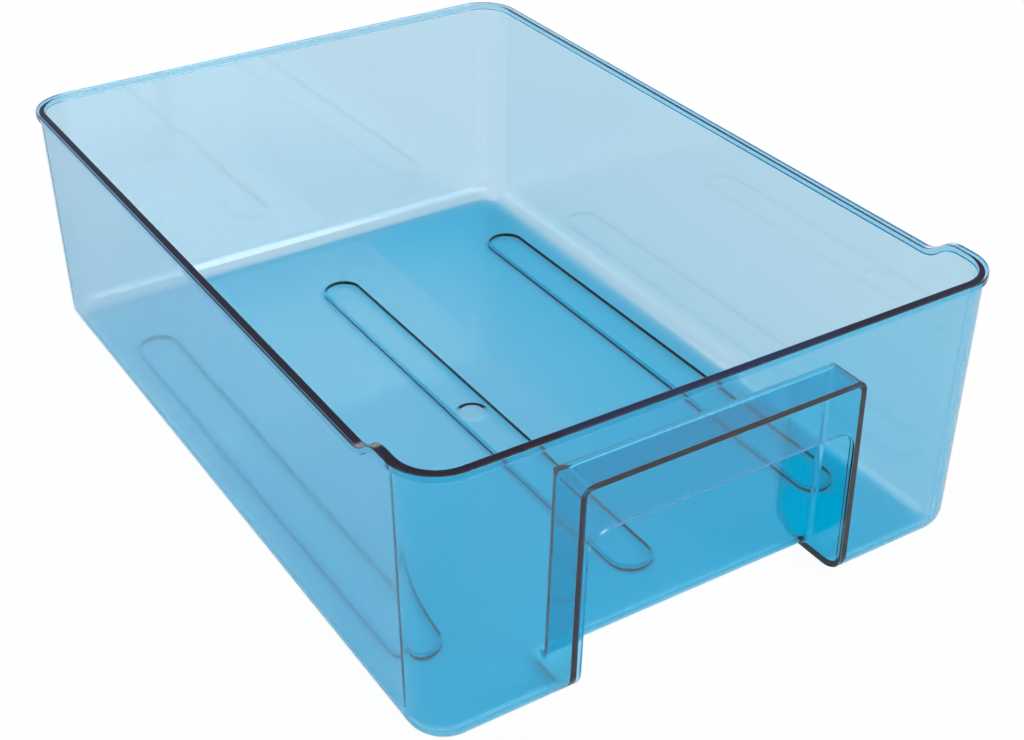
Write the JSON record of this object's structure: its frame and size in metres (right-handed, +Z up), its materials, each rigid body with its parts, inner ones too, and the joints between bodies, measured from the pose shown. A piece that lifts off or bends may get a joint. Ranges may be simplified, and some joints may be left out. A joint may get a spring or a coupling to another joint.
{
  "type": "refrigerator shelf bin",
  "caption": "Open moulded bin of see-through blue plastic for a refrigerator shelf, with a raised front rim and a finger pull let into the front wall.",
  "frame": {"origin": "under the middle of the bin, on the plane its runners rest on", "axes": "+X along the front to the right, -Y out of the front with the finger pull, +Z up to the rim"},
  "size_m": [0.24, 0.345, 0.1143],
  "materials": {
    "clear_blue_plastic": "polished, transparent blue"
  },
  "bodies": {
    "root": {"shelf_bin": "clear_blue_plastic"}
  },
  "joints": []
}
